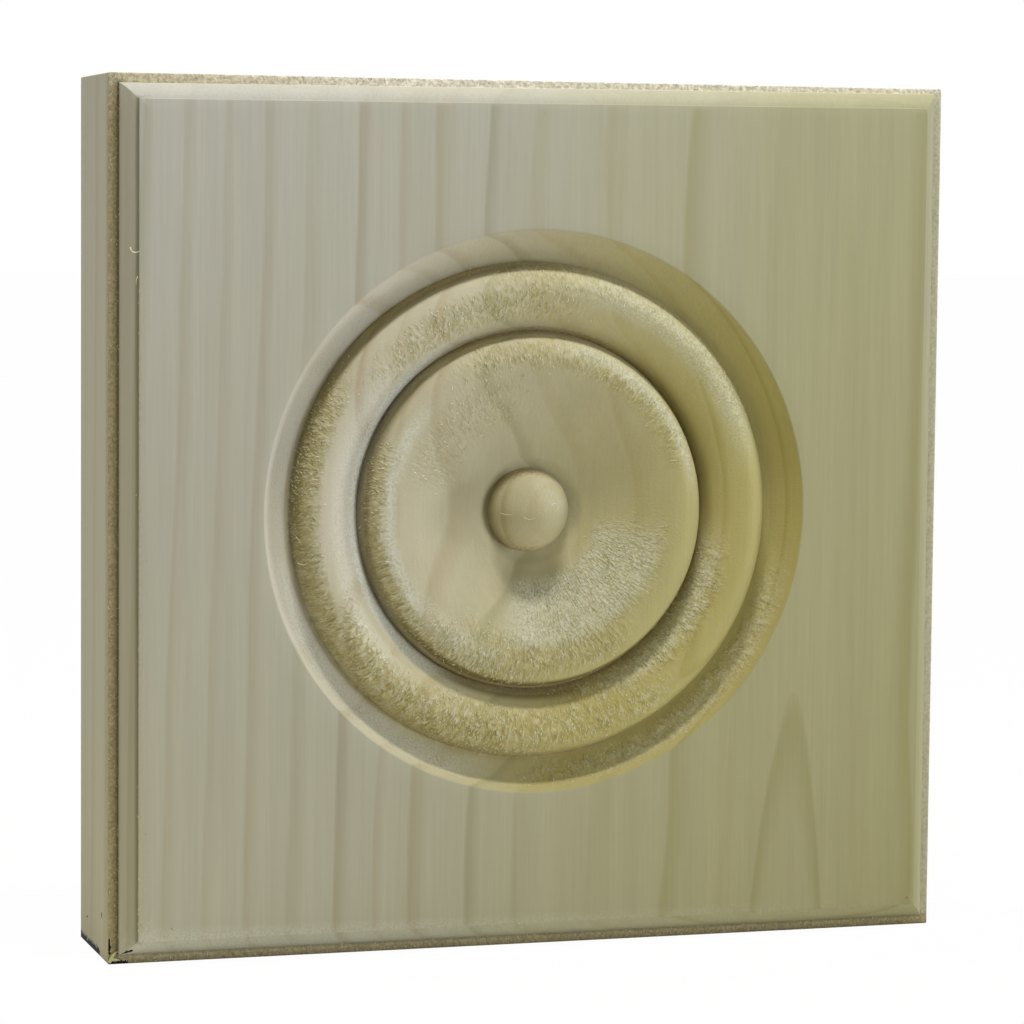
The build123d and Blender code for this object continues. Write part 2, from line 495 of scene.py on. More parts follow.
def edge_shares(points):
    """How frayed, how darkened and how fluffy the wood is at each point, along the moulding and its lip; the
    darkening is partly the wood's own and partly painted shade in the moulding's inner corners.
    """
    low, high = block_low, block_high
    x, depth, z = points[:, 0], (points[:, 1] - low[1]) / MM, points[:, 2]
    from_top, from_bottom = (high[2] - z) / MM, (z - low[2]) / MM
    from_left, from_right = (x - low[0]) / MM, (high[0] - x) / MM
    lip = window(depth, 2.9, 3.4, 0.3)
    border = window(depth, -0.2, 0.35, 0.2)
    frayed = np.max([
        0.85 * lip * window(from_top, -0.1, 1.3, 0.3),
        0.8 * lip * window(from_left, -0.1, 1.3, 0.3),
        0.8 * lip * window(from_bottom, -0.1, 1.3, 0.3),
        0.32 * lip * window(from_right, -0.1, 1.3, 0.3),
        0.12 * border * window(from_bottom, 3.1, 3.8, 0.6),
        0.35 * border * window(from_left, 3.1, 3.4, 0.3) * (from_bottom < 88),
    ], axis=0)
    # Partly the wood's own darkening and partly painted shade: the inner corner at the moulding's foot, the
    # quirk's line beside the face, and the left lip that the moulding shades
    stain_and_shade = np.max([
        0.95 * lip * window(from_left, 0.9, 1.35, 0.5),
        0.28 * lip * window(from_left, -0.2, 1.35, 0.3),
        0.5 * lip * window(from_bottom, -0.2, 0.4, 0.8),
        0.55 * lip * window(from_bottom, 1.0, 1.35, 0.4),
        0.55 * window(depth, 0.15, 0.5, 0.3) * window(from_left, 2.9, 3.4, 0.3),
    ], axis=0)
    moulded = window(depth, 0.3, 3.2, 0.4)
    leftward = np.clip(from_right / 100, 0.0, 1.0)
    fluffy = np.max([
        (0.04 + 0.12 * leftward) * moulded * window(from_bottom, 1.0, 3.6, 0.5),
        0.14 * leftward * moulded * window(from_top, 0.8, 3.6, 0.5),
        0.35 * leftward * border * window(from_bottom, 3.1, 4.2, 0.6),
    ], axis=0)
    return frayed, stain_and_shade, fluffy


def keep(mesh, name, values):
    """Stores one number on each point of a mesh."""
    mesh.attributes.new(name, "FLOAT", "POINT").data.foreach_set("value", values.astype(np.float32))


def node_tree(name, inputs):
    """A Geometry Nodes tree with a geometry in and out, a material and the inputs in name: kind."""
    tree = bpy.data.node_groups.new(name, "GeometryNodeTree")
    for label, kind in {"Geometry": "Geometry", **inputs, "Material": "Material"}.items():
        tree.interface.new_socket(label, in_out="INPUT", socket_type="NodeSocket" + kind)
    tree.interface.new_socket("Geometry", in_out="OUTPUT", socket_type="NodeSocketGeometry")
    return tree, add(tree, "NodeGroupInput").outputs, add(tree, "NodeGroupOutput").inputs


def finish_tree(tree, geometry, material, result):
    """Ends a tree with its geometry in one material."""
    dressed = add(tree, "GeometryNodeSetMaterial", {"Geometry": geometry, "Material": material})
    tree.links.new(dressed.outputs[0], result[0])
    return tree


def settle(piece, tree, values):
    """Runs a tree on a piece with its inputs set, and keeps the result as the piece's plain mesh."""
    modifier = piece.modifiers.new(tree.name, "NODES")
    modifier.node_group = tree
    names = {item.name: item.identifier for item in tree.interface.items_tree if item.in_out == "INPUT"}
    for name, value in values.items():
        modifier[names[name]] = value
    evaluated = piece.evaluated_get(bpy.context.evaluated_depsgraph_get())
    plain = bpy.data.meshes.new_from_object(evaluated)
    piece.modifiers.remove(modifier)
    spare = piece.data
    piece.data = plain
    plain.name = piece.name
    bpy.data.meshes.remove(spare)


def flat_arm(tree, position, centre):
    """The way to a position from the axis through a centre that runs from front to back."""
    arm = add(tree, "ShaderNodeVectorMath", {0: position, 1: centre}, operation="SUBTRACT")
    return add(tree, "ShaderNodeVectorMath", {0: arm, 1: (1.0, 0.0, 1.0)}, operation="MULTIPLY")


def stroke_coordinates(tree, flat, reach, width, run):
    """Coordinates that stretch a pattern into strokes toward the axis, as wide as told at one reach."""
    radius = add(tree, "ShaderNodeVectorMath", {0: flat}, operation="LENGTH").outputs["Value"]
    unit = add(tree, "ShaderNodeVectorMath", {0: flat}, operation="NORMALIZE")
    turns = add(tree, "ShaderNodeMath", {0: reach, 1: width}, operation="DIVIDE")
    around = add(tree, "ShaderNodeVectorMath", {0: unit, "Scale": turns}, operation="SCALE")
    along = add(tree, "ShaderNodeMath", {0: radius, 1: run}, operation="DIVIDE")
    lift = add(tree, "ShaderNodeCombineXYZ", {"Y": along})
    return add(tree, "ShaderNodeVectorMath", {0: around, 1: lift}, operation="ADD")


def mottle(tree, vector, scale, detail, seen, levels):
    """A noise, and the same noise brought from the range that is seen to a pair of levels."""
    noise = add(tree, "ShaderNodeTexNoise", {"Vector": vector, "Scale": scale, "Detail": detail})
    return noise, add(tree, "ShaderNodeMapRange", {
        "Value": noise, "From Min": seen[0], "From Max": seen[1], "To Min": levels[0], "To Max": levels[1]})


def torn_bed_tree():
    """Sinks the skin in short strokes where it is torn."""
    tree, given, result = node_tree("Torn bed", {
        "Centre": "Vector", "Depth": "Float", "Stroke Width": "Float", "Stroke Length": "Float"})
    flat = flat_arm(tree, add(tree, "GeometryNodeInputPosition"), given["Centre"])
    strokes = stroke_coordinates(
        tree, flat, MIDDLE_REACH * MM, given["Stroke Width"], given["Stroke Length"])
    noise = add(tree, "ShaderNodeTexNoise", {"Vector": strokes, "Scale": 1.0, "Detail": 1.0})
    # At this value the noise leaves the skin as it was, and below it the skin sinks
    untouched = 0.72
    height = add(tree, "ShaderNodeMath", {0: noise, 1: untouched}, operation="SUBTRACT")
    torn = add(tree, "GeometryNodeInputNamedAttribute", {"Name": "torn"}, data_type="FLOAT")
    for factor in (torn, given["Depth"]):
        height = add(tree, "ShaderNodeMath", {0: height, 1: factor}, operation="MULTIPLY")
    offset = add(tree, "ShaderNodeVectorMath", {
        0: add(tree, "GeometryNodeInputNormal"), "Scale": height}, operation="SCALE")
    moved = add(tree, "GeometryNodeSetPosition", {"Geometry": given["Geometry"], "Offset": offset})
    return finish_tree(tree, moved, given["Material"], result)


def fibre_tree(mask_name):
    """Scatters small curled fibres over a skin, denser where a mask is high."""
    tree, given, result = node_tree("Fibres of " + mask_name, {
        "Centre": "Vector", "Radial": "Float", "Density": "Float", "Length": "Float",
        "Width": "Float", "Lift": "Float", "Stray": "Float", "Seed": "Int",
        "Low": "Vector", "High": "Vector"})
    # Where the fibres stand: the mask, broken up into tufts
    position = add(tree, "GeometryNodeInputPosition")
    density = add(tree, "GeometryNodeInputNamedAttribute", {"Name": mask_name}, data_type="FLOAT")
    _, tufted = mottle(tree, position, 420.0, 1.0, (0.36, 0.58), (0.45, 1.0))
    for factor in (tufted, given["Density"]):
        density = add(tree, "ShaderNodeMath", {0: density, 1: factor}, operation="MULTIPLY")
    points = add(tree, "GeometryNodeDistributePointsOnFaces", {
        "Mesh": given["Geometry"], "Density": density, "Seed": given["Seed"]})
    # Random draws of each fibre, from (least, most, seed): its turn to a side, its lift off the
    # wood, its size and its shade
    side, raised, size, shade = (
        add(tree, "FunctionNodeRandomValue", {"Min": least, "Max": most, "Seed": seed}, data_type="FLOAT")
        for least, most, seed in ((-1.0, 1.0, 3), (0.3, -1.0, 11), (0.5, 1.3, 23), (0.0, 1.0, 31)))
    # How they lie: along the cutter's stroke where Radial is one, along the grain where it is
    # nothing, strayed and lifted at random
    flat = flat_arm(tree, position, given["Centre"])
    unit = add(tree, "ShaderNodeVectorMath", {0: flat}, operation="NORMALIZE")
    pulled = add(tree, "ShaderNodeVectorMath", {0: unit, "Scale": given["Radial"]}, operation="SCALE")
    grain_share = add(tree, "ShaderNodeMath", {0: 1.0, 1: given["Radial"]}, operation="SUBTRACT")
    grain = add(tree, "ShaderNodeCombineXYZ", {"Z": grain_share})
    way = add(tree, "ShaderNodeVectorMath", {0: pulled, 1: grain}, operation="ADD")
    stand = add(tree, "FunctionNodeAxesToRotation", {
        "Primary Axis": points.outputs["Normal"], "Secondary Axis": way},
        primary_axis="Z", secondary_axis="X")
    stray = add(tree, "ShaderNodeMath", {0: side, 1: given["Stray"]}, operation="MULTIPLY")
    lift = add(tree, "ShaderNodeMath", {0: raised, 1: given["Lift"]}, operation="MULTIPLY")
    local = add(tree, "ShaderNodeCombineXYZ", {"Y": lift, "Z": stray})
    turned = add(tree, "FunctionNodeRotateRotation", {
        "Rotation": stand, "Rotate By": add(tree, "FunctionNodeEulerToRotation", {0: local})},
        rotation_space="LOCAL")
    # One fibre of unit length: a tapered sliver, three-sided, curling up at its free end
    spine = add(tree, "GeometryNodeCurveQuadraticBezier", {
        "Resolution": 3, "Start": (-0.5, 0.0, -0.08), "Middle": (0.0, 0.03, 0.10), "End": (0.5, 0.0, 0.05)})
    along = add(tree, "GeometryNodeSplineParameter").outputs["Factor"]
    taper = add(tree, "ShaderNodeMapRange", {
        "Value": along, "From Min": 0.4, "From Max": 1.0, "To Min": 1.0, "To Max": 0.12})
    half = add(tree, "ShaderNodeMath", {0: given["Width"], 1: 0.5}, operation="MULTIPLY")
    slim = add(tree, "ShaderNodeMath", {0: half, 1: given["Length"]}, operation="DIVIDE")
    section = add(tree, "GeometryNodeCurvePrimitiveCircle", {"Resolution": 3, "Radius": slim})
    sliver = add(tree, "GeometryNodeCurveToMesh", {
        "Curve": spine, "Profile Curve": section, "Scale": taper, "Fill Caps": True})
    scale = add(tree, "ShaderNodeMath", {0: size, 1: given["Length"]}, operation="MULTIPLY")
    placed = add(tree, "GeometryNodeInstanceOnPoints", {
        "Points": points, "Instance": sliver, "Rotation": turned, "Scale": scale})
    tinted = add(tree, "GeometryNodeStoreNamedAttribute", {
        "Geometry": placed, "Name": "shade", "Value": shade}, data_type="FLOAT", domain="INSTANCE")
    # No fibre stands out of the block's own box
    real = add(tree, "GeometryNodeRealizeInstances", {"Geometry": tinted})
    above = add(tree, "ShaderNodeVectorMath", {0: position, 1: given["Low"]}, operation="MAXIMUM")
    within = add(tree, "ShaderNodeVectorMath", {0: above, 1: given["High"]}, operation="MINIMUM")
    held = add(tree, "GeometryNodeSetPosition", {"Geometry": real, "Position": within})
    return finish_tree(tree, held, given["Material"], result)


def new_material(name):
    """An empty material and its node tree."""
    material = bpy.data.materials.new(name)
    material.use_nodes = True
    material.node_tree.nodes.clear()
    return material, material.node_tree


# Years of growth, from the pith out: outer radius in millimetres, how strong its last line is,
# and what that line multiplies the wood's colour by
INNERMOST_YEAR = 48.0
YEARS = (
    (52.5, 0.5, "#EAE6D6"),
    (57.0, 0.6, "#E8E3CE"),
    (61.5, 0.5, "#E8E4D2"),
    (65.98, 0.1, "#F0ECDC"),
    (66.2, 0.5, "#E2DCC0"),
    (66.95, 0.12, "#ECE8D8"),
    (68.7, 0.7, "#ECE9D4"),
    (72.6, 0.4, "#F1ECDC"),
    (77.0, 0.4, "#F1ECDD"),
    (80.3, 0.75, "#E4E7DA"),
    (84.7, 0.65, "#ECE4D8"),
    (87.5, 0.45, "#EFE8DC"),
    (91.5, 0.7, "#E9E0D4"),
    (96.5, 0.45, "#ECECE0"),
    (100.6, 0.5, "#EDE6DA"),
    (104.3, 0.4, "#EDE8DA"),
    (108.6, 0.45, "#EDE6D8"),
    (113.0, 0.5, "#EAE8DA"),
    (117.6, 0.5, "#EBE4D6"),
    (123.0, 0.4, "#EAE6DA"),
    (135.0, 0.4, "#EAE6DA"),
)


def fill_ramp(ramp, stops):
    """Sets a colour ramp's stops from rows of (position, colour, alpha)."""
    while len(ramp.elements) > 1:
        ramp.elements.remove(ramp.elements[-1])
    for number, (position, tint, alpha) in enumerate(stops):
        stop = ramp.elements[0] if number == 0 else ramp.elements.new(position)
        stop.position = position
        stop.color = (*tint, alpha)


# The tree's pith in the block's coordinates, in millimetres: where it passes the block's foot,
# and how far it leans for each millimetre of height
PITH_X, PITH_Y = 35.0, -77.155
PITH_LEAN_X, PITH_LEAN_Y = 0.022, -0.0066


def figured_wood(tree, finish, point, x, y, z, inside, front):
    """Colour of the wood from its growth rings and fibres, and the streaks of the fibres."""
    # Pith: nearly upright, in front of the face and right of its middle
    offsets = []
    for place, lean, start in ((x, PITH_LEAN_X, PITH_X), (y, PITH_LEAN_Y, PITH_Y)):
        pith = add(tree, "ShaderNodeMath", {0: z, 1: lean, 2: start}, operation="MULTIPLY_ADD")
        offsets.append(add(tree, "ShaderNodeMath", {0: place, 1: pith}, operation="SUBTRACT"))
    across, into = offsets
    from_pith = add(tree, "ShaderNodeCombineXYZ", {"X": across, "Y": into})
    reach = add(tree, "ShaderNodeVectorMath", {0: from_pith}, operation="LENGTH").outputs["Value"]
    # The rings wander over some centimetres, hardly in front of the pith and by up to a
    # millimetre or so beside it, and they waver along the grain
    drawn = add(tree, "ShaderNodeVectorMath", {0: point, 1: (1.0, 1.0, 0.22)}, operation="MULTIPLY")
    wander = add(tree, "ShaderNodeTexNoise", {"Vector": drawn, "Scale": 0.06, "Detail": 2.0})
    centred = add(tree, "ShaderNodeMath", {0: wander, 1: 0.5}, operation="SUBTRACT")
    beside = add(tree, "ShaderNodeMath", {0: across}, operation="ABSOLUTE")
    most = add(tree, "ShaderNodeMapRange", {
        "Value": beside, "From Min": 5.0, "From Max": 26.0, "To Min": 0.2, "To Max": 3.0})
    swing = add(tree, "ShaderNodeMath", {0: centred, 1: most, 2: reach}, operation="MULTIPLY_ADD")
    # No two years grew alike, so a ramp turns the distance from the pith into years
    radii = [INNERMOST_YEAR] + [radius for radius, _, _ in YEARS]
    first, last, count = radii[0], radii[-1], len(YEARS)
    span = add(tree, "ShaderNodeMapRange", {"Value": swing, "From Min": first, "From Max": last})
    years = add(tree, "ShaderNodeValToRGB", {"Fac": span})
    fill_ramp(years.color_ramp, [
        ((radius - first) / (last - first), [number / count] * 3, 1.0)
        for number, radius in enumerate(radii)])
    rings = add(tree, "ShaderNodeMath", {0: years, 1: count - 0.0001}, operation="MULTIPLY")
    year = add(tree, "ShaderNodeMath", {0: rings}, operation="FLOOR")
    season = add(tree, "ShaderNodeMath", {0: rings}, operation="FRACT")
    year_share = add(tree, "ShaderNodeMath", {0: year, 1: float(count)}, operation="DIVIDE")
    lines = add(tree, "ShaderNodeValToRGB", {"Fac": year_share})
    lines.color_ramp.interpolation = "CONSTANT"
    fill_ramp(lines.color_ramp, [
        (max(0.0, (number - 0.3) / count), hex_to_linear(tint), strength)
        for number, (_, strength, tint) in enumerate(YEARS)])
    # Pale on the left of the face and yellower on the right; toward the bottom yellower and a little darker,
    # which is painted fall-off of the light
    drift = add(tree, "ShaderNodeTexNoise", {"Vector": drawn, "Scale": 0.05, "Detail": 1.0})
    east = add(tree, "ShaderNodeMath", {0: drift, 1: 40.0, 2: x}, operation="MULTIPLY_ADD")
    side = add(tree, "ShaderNodeMapRange", {
        "Value": east, "From Min": -25.0, "From Max": 75.0}, interpolation_type="SMOOTHSTEP")
    fall = add(tree, "ShaderNodeMapRange", {"Value": z, "From Min": 110.0, "From Max": 5.0})
    # Each year ends in a line that fades back toward the pith over most of the year's width
    fade = add(tree, "ShaderNodeMapRange", {
        "Value": season, "From Min": 0.58, "From Max": 0.93}, interpolation_type="SMOOTHSTEP")
    edge = add(tree, "ShaderNodeMapRange", {
        "Value": season, "From Min": 0.94, "From Max": 1.0, "To Min": 1.0, "To Max": 0.25})
    faint = add(tree, "ShaderNodeMapRange", {"Value": inside, "To Min": 1.0, "To Max": 0.95})
    # The ovolo of the top edge cuts across the lines and hardly shows them
    ovolo_z = block_high[2] / MM - 3.2
    top_edge = add(tree, "ShaderNodeMapRange", {"Value": z, "From Min": ovolo_z - 0.4, "From Max": ovolo_z})
    top_edge = add(tree, "ShaderNodeMath", {0: top_edge, 1: front}, operation="MULTIPLY")
    cleared = add(tree, "ShaderNodeMapRange", {"Value": top_edge, "To Min": 1.0, "To Max": 0.25})
    line = fade
    for factor in (edge, faint, cleared, lines.outputs["Alpha"]):
        line = add(tree, "ShaderNodeMath", {0: line, 1: factor}, operation="MULTIPLY")
    wood = finish.pale
    for share, tint, blend in (
            (side, finish.pale_right, "MIX"), (fall, finish.low, "MULTIPLY"),
            (line, lines.outputs["Color"], "MULTIPLY")):
        wood = add(tree, "ShaderNodeMix", {
            "Factor": share, "A": wood, "B": tint}, data_type="RGBA", blend_type=blend)
    # Fibres, as (stretch, detail, range of the noise, range of the brightness): fine streaks along
    # the grain, less than half a millimetre across, and soft broad ones
    noises = []
    for stretch, detail, seen, levels in (
            ((2.4, 2.4, 0.07), 4.0, (0.25, 0.75), (0.965, 1.035)),
            ((0.35, 0.35, 0.012), 3.0, (0.3, 0.7), (0.97, 1.03))):
        stretched = add(tree, "ShaderNodeVectorMath", {0: point, 1: stretch}, operation="MULTIPLY")
        noise, value = mottle(tree, stretched, 1.0, detail, seen, levels)
        wood = add(tree, "ShaderNodeVectorMath", {0: wood, "Scale": value}, operation="SCALE")
        noises.append(noise)
    return wood, noises[0]


# Black marks at the lower left corner, each drawn in one view: its two ends as (x, y, z), with
# none along the view, and its half width, in millimetres
MARKS = {
    "side, along the lower edge": ((0, 11.5, 0.0), (0, -1.6, 0.15), 0.85),
    "side, along the lower edge, thick end": ((0, 11.1, 0.35), (0, 7.5, 0.35), 0.7),
    "side, upper speck": ((0, -3.5, 5.8), (0, -3.6, 5.5), 0.22),
    "side, lower speck": ((0, 6.3, 3.7), (0, 6.6, 3.6), 0.18),
    "front, lip, upright": ((-57.0, 0, 1.5), (-57.0, 0, 3.3), 0.16),
    "front, moulding, oblique": ((-55.9, 0, 1.6), (-54.5, 0, 2.0), 0.20),
    "front, lip, along the lower edge": ((-57.1, 0, 0.0), (-54.9, 0, 0.15), 0.36),
}


def mark_share(tree, point, ragged, plane, start, end, half_width):
    """How near a point is to a black mark's line in the view that the mark is drawn in, from 0 to 1."""
    begin = Vector(start)
    run = Vector(end) - begin
    flat = add(tree, "ShaderNodeVectorMath", {0: point, 1: plane}, operation="MULTIPLY")
    arm = add(tree, "ShaderNodeVectorMath", {0: flat, 1: begin}, operation="SUBTRACT")
    along = add(tree, "ShaderNodeVectorMath", {0: arm, 1: run / run.length_squared}, operation="DOT_PRODUCT")
    along = add(tree, "ShaderNodeClamp", {"Value": along.outputs["Value"]})
    foot = add(tree, "ShaderNodeVectorMath", {0: run, "Scale": along}, operation="SCALE")
    away = add(tree, "ShaderNodeVectorMath", {0: arm, 1: foot}, operation="DISTANCE").outputs["Value"]
    away = add(tree, "ShaderNodeMath", {0: ragged, 1: half_width, 2: away}, operation="MULTIPLY_ADD")
    return add(tree, "ShaderNodeMapRange", {
        "Value": away, "From Min": half_width * 1.1, "From Max": half_width * 0.8})


def planed_poplar(finish, sizes, bullseye):
    """Raw tulipwood, planed and turned: open fibre, no finish, so dull and a little rough.

    Planing leaves the fibres lying flat and pale, the cutter of the bullseye opens the grain and
    shows it creamier, and the sawn ends drink the light and look browner.
    """
    material, tree = new_material("raw_poplar_planed_and_turned")
    place = add(tree, "ShaderNodeTexCoord").outputs["Object"]
    point = add(tree, "ShaderNodeVectorMath", {0: place, "Scale": 1 / MM}, operation="SCALE")
    x, y, z = add(tree, "ShaderNodeSeparateXYZ", {0: point}).outputs
    normal = add(tree, "ShaderNodeNewGeometry").outputs["Normal"]
    normal_x, _, normal_z = add(tree, "ShaderNodeSeparateXYZ", {0: normal}).outputs
    torn, painted_shade, fuzz_and_highlight, frayed, stain_and_shade = (
        add(tree, "ShaderNodeAttribute", attribute_name=name, attribute_type="GEOMETRY").outputs["Fac"]
        for name in ("torn", "painted_shade", "fuzz_and_highlight", "frayed", "stain_and_shade"))
    flat = flat_arm(tree, point, (bullseye[0] / MM, 0.0, bullseye[1] / MM))
    radius = add(tree, "ShaderNodeVectorMath", {0: flat}, operation="LENGTH").outputs["Value"]
    # The face and all that is cut into it, down to the button's foot
    front = add(tree, "ShaderNodeMapRange", {"Value": y, "From Min": -4.5, "From Max": -5.5})
    rim = sizes.rim_radius / MM
    inside = add(tree, "ShaderNodeMapRange", {"Value": radius, "From Min": rim + 0.1, "From Max": rim - 0.3})
    inside = add(tree, "ShaderNodeMath", {0: inside, 1: front}, operation="MULTIPLY")
    wood, streaks = figured_wood(tree, finish, point, x, y, z, inside, front)
    # Turned surfaces are a little lighter, and creamier toward the lower right
    lower = add(tree, "ShaderNodeVectorMath", {0: flat, 1: (0.9, 0.0, -0.35)}, operation="DOT_PRODUCT")
    lower = add(tree, "ShaderNodeMapRange", {
        "Value": lower.outputs["Value"], "From Min": -24.0, "From Max": 16.0})
    dish_cream, dish_shade = (
        add(tree, "ShaderNodeMapRange", {
            "Value": radius, "From Min": 17.0, "From Max": 24.0, "To Min": least, "To Max": 1.0})
        for least in (0.6, 0.93))
    lower = add(tree, "ShaderNodeMath", {0: lower, 1: dish_cream}, operation="MULTIPLY")
    cream = add(tree, "ShaderNodeMix", {
        "Factor": lower, "A": finish.turned, "B": finish.turned_low}, data_type="RGBA")
    lighter = add(tree, "ShaderNodeMapRange", {"Value": lower, "To Min": 1.19, "To Max": 1.12})
    lighter = add(tree, "ShaderNodeMath", {0: lighter, 1: dish_shade}, operation="MULTIPLY")
    cream = add(tree, "ShaderNodeVectorMath", {0: cream, "Scale": lighter}, operation="SCALE")
    # Layers of colour over the wood, as (share, colour, how it is laid on)
    # The last of these layers is painted shade in the grooves and the button's shadow on the dish
    layers = [
        (inside, cream, "MULTIPLY"), (torn, finish.torn_cast, "MULTIPLY"), (painted_shade, finish.painted_shade, "MULTIPLY")]
    # Torn bed: dark hollows between the strokes, painted shade, and pale ridges where the fibres lie bare,
    # painted highlight
    stroke = add(tree, "ShaderNodeTexNoise", {
        "Vector": stroke_coordinates(tree, flat, MIDDLE_REACH, 0.5, 1.05),
        "Scale": 1.0, "Detail": 2.0, "Distortion": 0.4})
    _, patchy = mottle(tree, point, 0.45, 2.0, (0.34, 0.58), (0.35, 1.0))
    torn_here = add(tree, "ShaderNodeMath", {0: torn, 1: patchy}, operation="MULTIPLY")
    for tint, low, high, most in ((finish.torn, 0.49, 0.38, 0.85), (finish.fibre, 0.53, 0.62, 0.6)):
        share = add(tree, "ShaderNodeMapRange", {
            "Value": stroke, "From Min": low, "From Max": high, "To Max": most})
        share = add(tree, "ShaderNodeMath", {0: share, 1: torn_here}, operation="MULTIPLY")
        layers.append((share, tint, "MIX"))
    # Short fuzz beside the torn grain is speckled white, which also paints highlights where the turned
    # surfaces face the lamps
    _, fuzz = mottle(tree, point, 3.4, 3.0, (0.36, 0.62), (0.15, 1.0))
    share = add(tree, "ShaderNodeMath", {0: fuzz, 1: fuzz_and_highlight}, operation="MULTIPLY")
    layers.append((share, finish.bleached_and_lit, "MIX"))
    # End grain on the sawn top and bottom, behind the lip and speckled by the cut fibres
    ends = add(tree, "ShaderNodeMath", {0: normal_z}, operation="ABSOLUTE")
    ends = add(tree, "ShaderNodeMapRange", {"Value": ends, "From Min": 0.55, "From Max": 0.95})
    lip_y = (block_low[1] + sizes.moulding_depth) / MM
    behind = add(tree, "ShaderNodeMapRange", {"Value": y, "From Min": lip_y - 0.4, "From Max": lip_y})
    ends = add(tree, "ShaderNodeMath", {0: ends, 1: behind}, operation="MULTIPLY")
    speckle, speckled = mottle(tree, point, 2.6, 3.0, (0.3, 0.7), (0.62, 1.2))
    sawn = add(tree, "ShaderNodeVectorMath", {0: finish.end_grain[:3], "Scale": speckled}, operation="SCALE")
    share = add(tree, "ShaderNodeMath", {0: ends, 1: 0.7}, operation="MULTIPLY")
    layers.append((share, sawn, "MIX"))
    # The frayed lip is browner and speckled, pale along the top and up the right side, and dark at the
    # moulding's foot, partly painted shade in the inner corner. Each gate is (coordinate, where it starts,
    # where it is full, least).
    left_x, right_x, top_z = block_low[0] / MM, block_high[0] / MM, block_high[2] / MM
    upper, paler, right, raised = (
        add(tree, "ShaderNodeMapRange", {
            "Value": place, "From Min": start, "From Max": full, "To Min": least, "To Max": 1.0})
        for place, start, full, least in (
            (z, top_z - 2.1, top_z - 1.5, 0.0), (x, left_x + 1.15, left_x + 37.15, 0.25),
            (x, right_x - 1.75, right_x - 1.25, 0.0), (z, 1.3, 1.8, 0.0)))
    upper = add(tree, "ShaderNodeMath", {0: upper, 1: paler}, operation="MULTIPLY")
    right = add(tree, "ShaderNodeMath", {0: right, 1: raised}, operation="MULTIPLY")
    upper = add(tree, "ShaderNodeMath", {0: upper, 1: right}, operation="MAXIMUM")
    lip = add(tree, "ShaderNodeMix", {
        "Factor": upper, "A": finish.lip, "B": finish.lip_top}, data_type="RGBA")
    browned = add(tree, "ShaderNodeVectorMath", {0: lip, "Scale": speckled}, operation="SCALE")
    layers += [(frayed, browned, "MIX"), (stain_and_shade, finish.foot_stain_and_shade, "MIX")]
    # Black marks, with ragged outlines, each kept to the surfaces that its view shows
    ragged = add(tree, "ShaderNodeMapRange", {
        "Value": speckle, "From Min": 0.3, "From Max": 0.7, "To Min": -0.5, "To Max": 0.5})
    on_side = add(tree, "ShaderNodeMapRange", {"Value": normal_x, "From Min": -0.6, "From Max": -0.8})
    off_side = add(tree, "ShaderNodeMath", {0: 1.0, 1: on_side}, operation="SUBTRACT")
    on_front = add(tree, "ShaderNodeMath", {0: off_side, 1: front}, operation="MULTIPLY")
    views = {"side": ((0.0, 1.0, 1.0), on_side), "front": ((1.0, 0.0, 1.0), on_front)}
    marked = 0.0
    for name, mark in MARKS.items():
        plane, shown = views[name.split(",")[0]]
        near = mark_share(tree, point, ragged, plane, *mark)
        share = add(tree, "ShaderNodeMath", {0: near, 1: shown}, operation="MULTIPLY")
        marked = add(tree, "ShaderNodeMath", {0: share, 1: marked}, operation="MAXIMUM")
    layers.append((marked, finish.black_mark_tint, "MIX"))
    for share, tint, blend in layers:
        wood = add(tree, "ShaderNodeMix", {
            "Factor": share, "A": wood, "B": tint}, data_type="RGBA", blend_type=blend)
    # Relief too fine for the mesh: the lie of the fibres, the opened grain of the turned wood, the
    # torn strokes and the cut ends
    speck = add(tree, "ShaderNodeTexNoise", {"Vector": point, "Scale": 3.2, "Detail": 2.0})
    cut = add(tree, "ShaderNodeMath", {0: ends, 1: frayed}, operation="MAXIMUM")
    specks, torn_height, cut_height = (
        add(tree, "ShaderNodeMath", {0: noise, 1: share}, operation="MULTIPLY")
        for noise, share in ((speck, inside), (stroke, torn_here), (speckle, cut)))
    relief = {}
    for height, strength, distance in (
            (streaks, 0.35, 0.03), (specks, 0.6, 0.08), (torn_height, 1.0, 0.9), (cut_height, 0.7, 0.25)):
        relief["Normal"] = add(tree, "ShaderNodeBump", {
            "Height": height, "Strength": strength, "Distance": distance * MM, **relief})
    shader = add(tree, "ShaderNodeBsdfPrincipled", {
        "Base Color": wood, "Roughness": 0.72, "IOR": 1.5, "Specular IOR Level": 0.12, **relief})
    add(tree, "ShaderNodeOutputMaterial", {"Surface": shader})
    return material


def lifted_fibre(finish):
    """Torn tulipwood fibre: dry, matt and paler than the bed it was lifted from."""
    material, tree = new_material("torn_poplar_fibre")
    shade = add(tree, "ShaderNodeAttribute", attribute_name="shade", attribute_type="GEOMETRY")
    tone = add(tree, "ShaderNodeMix", {
        "Factor": shade.outputs["Fac"], "A": finish.fibre_low, "B": finish.fibre}, data_type="RGBA")
    shader = add(tree, "ShaderNodeBsdfPrincipled", {
        "Base Color": tone, "Roughness": 0.8, "IOR": 1.5, "Specular IOR Level": 0.1})
    add(tree, "ShaderNodeOutputMaterial", {"Surface": shader})
    return material


def seen_by_camera(tree):
    """One for the rays that show the studio itself: straight from the camera, mirrored or refracted."""
    ray = add(tree, "ShaderNodeLightPath").outputs
    seen = ray["Is Camera Ray"]
    for kind in ("Is Glossy Ray", "Is Transmission Ray"):
        seen = add(tree, "ShaderNodeMath", {0: seen, 1: ray[kind]}, operation="MAXIMUM")
    return seen


